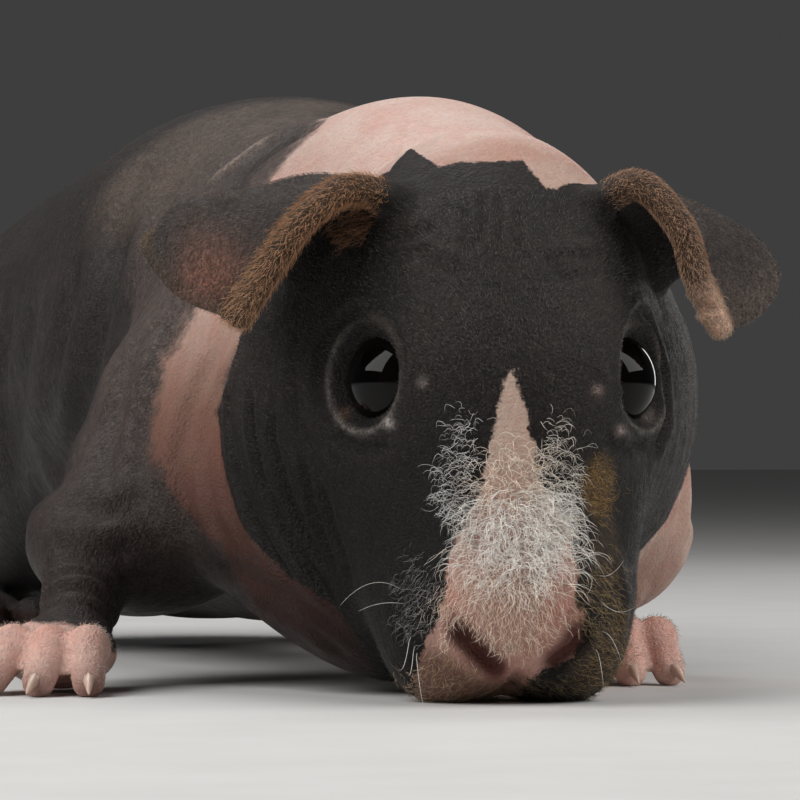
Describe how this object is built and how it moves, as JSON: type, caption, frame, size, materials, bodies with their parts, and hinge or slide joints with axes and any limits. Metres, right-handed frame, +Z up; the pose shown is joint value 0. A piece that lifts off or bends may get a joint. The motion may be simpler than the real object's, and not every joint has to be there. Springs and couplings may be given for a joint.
{
  "type": "skinny pig",
  "caption": "Life-size still model of a skinny pig, a nearly hairless guinea pig, standing head down and sniffing at the floor.",
  "frame": {"origin": "centre of the bounding box in plan, on the floor that the paws stand on", "axes": "+Z up, the animal faces -Y, its left side is towards +X"},
  "size_m": [0.116, 0.219, 0.0775],
  "materials": {
    "skin_dark": "matt, dark charcoal brown skin",
    "skin_taupe": "matt, taupe brown skin",
    "skin_pink": "satin, pale pink skin",
    "eye": "wet and glossy, black"
  },
  "bodies": {
    "root": {"head": "skin_dark", "neck": "skin_pink", "chest": "skin_pink", "belly": "skin_dark", "rump": "skin_dark", "foreleg_right": "skin_taupe", "foreleg_left": "skin_taupe", "hindleg_right": "skin_dark", "hindleg_left": "skin_dark", "forepaw_right": "skin_pink", "forepaw_left": "skin_pink", "hindpaw_right": "skin_pink", "hindpaw_left": "skin_pink", "ear_right": "skin_dark", "ear_left": "skin_dark", "eye_right": "eye", "eye_left": "eye"}
  },
  "joints": []
}
